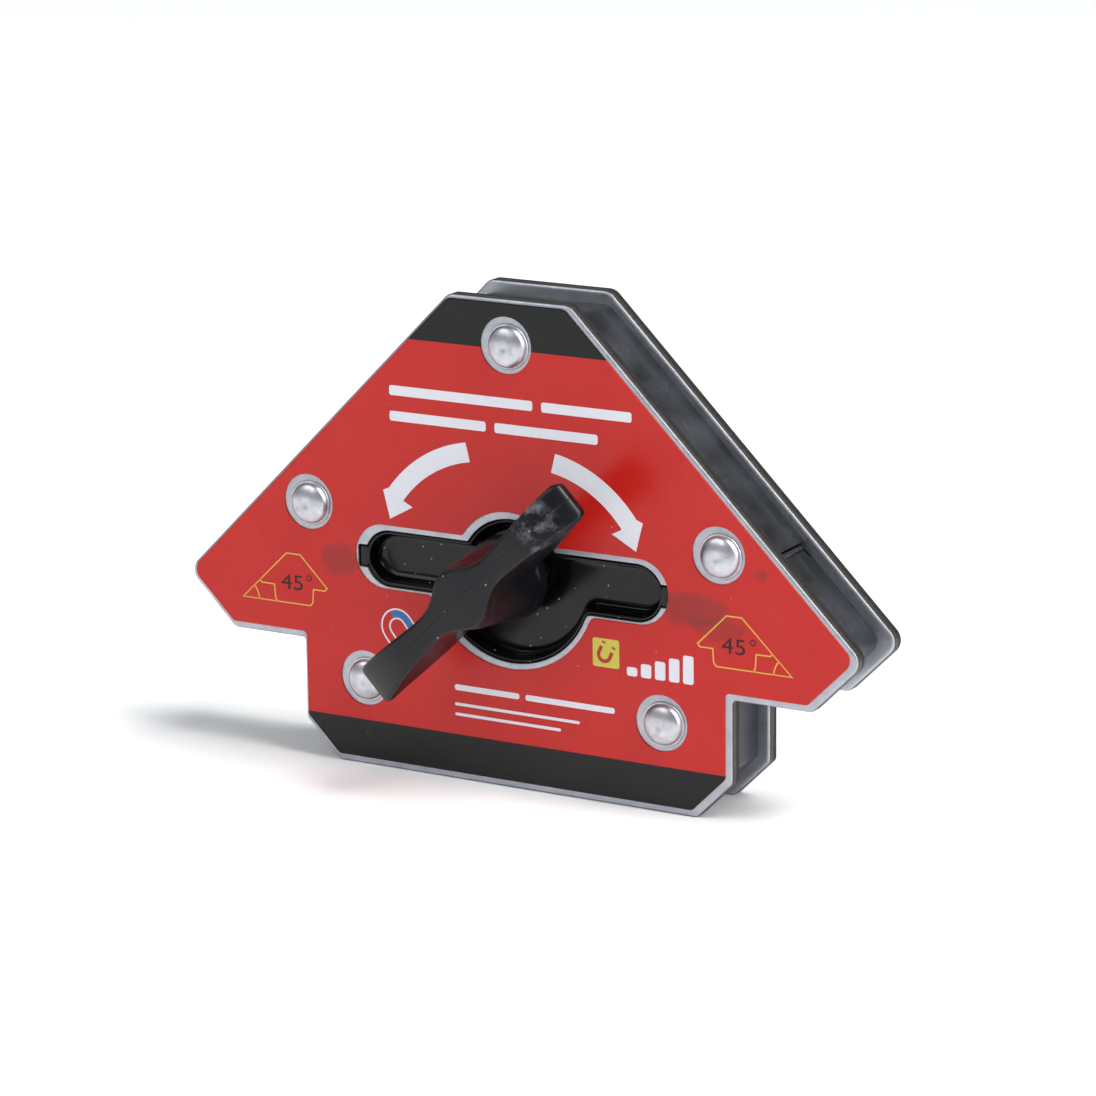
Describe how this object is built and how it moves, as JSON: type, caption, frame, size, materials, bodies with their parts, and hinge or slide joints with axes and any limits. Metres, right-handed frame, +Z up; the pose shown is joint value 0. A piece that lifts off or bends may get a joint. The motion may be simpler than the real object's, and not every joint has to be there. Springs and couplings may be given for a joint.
{
  "type": "welding magnet holder",
  "caption": "Arrow-shaped switchable magnetic holder that fixes steel pieces at 45 or 90 degrees for welding, with two steel pole plates and a turning lever.",
  "frame": {"origin": "middle of the base, level with the bottom edges of both plates, in the front face of the front plate", "axes": "+X to the right along the base seen from the front, +Y from the front face to the rear, +Z up towards the flat top of the arrow"},
  "size_m": [0.1518, 0.041, 0.0993],
  "materials": {
    "zinc_plate": "zinc-plated steel plate, satin",
    "printed_film": "printed film, semi-gloss red",
    "core_moulding": "moulded, satin dark grey",
    "black_moulding": "moulded, glossy black",
    "rivet_steel": "zinc-plated rivet, satin",
    "bar_steel": "bright turned steel",
    "magnet_nickel": "nickel-plated magnet",
    "brass": "turned brass",
    "nylon": "natural nylon"
  },
  "bodies": {
    "holder": {"front_plate": "zinc_plate", "rear_plate": "zinc_plate", "front_film": "printed_film", "upper_core": "core_moulding", "lower_core": "core_moulding", "switch_well": "black_moulding", "fixed_magnet": "magnet_nickel", "left_pole_shoe": "bar_steel", "right_pole_shoe": "bar_steel", "thrust_washer": "nylon", "spindle_bush": "brass", "detent_spring": "bar_steel", "rivet_top": "rivet_steel", "rivet_sleeve_top": "bar_steel", "rivet_left": "rivet_steel", "rivet_sleeve_left": "bar_steel", "rivet_right": "rivet_steel", "rivet_sleeve_right": "bar_steel", "rivet_bottom_left": "rivet_steel", "rivet_sleeve_bottom_left": "bar_steel", "rivet_bottom_right": "rivet_steel", "rivet_sleeve_bottom_right": "bar_steel"},
    "switch": {"lever_knob": "black_moulding", "spindle": "bar_steel", "cross_pin": "bar_steel", "rotor_carrier": "brass", "rotor_magnet": "magnet_nickel", "retaining_clip": "bar_steel"},
    "detent": {"detent_ball": "bar_steel"}
  },
  "joints": [
    {"name": "lever_turn", "type": "hinge", "parent": "holder", "child": "switch", "pos_m": [0, 0, 0.04385], "axis": [0, -1, 0], "range_deg": [-44, 136]},
    {"name": "detent_lift", "type": "slide", "parent": "holder", "child": "detent", "axis": [0, 0, 1], "range_m": [0, 0.0005], "stiffness_N_per_m": 500, "springref_m": -0.001, "deforming": ["detent_spring"]}
  ]
}
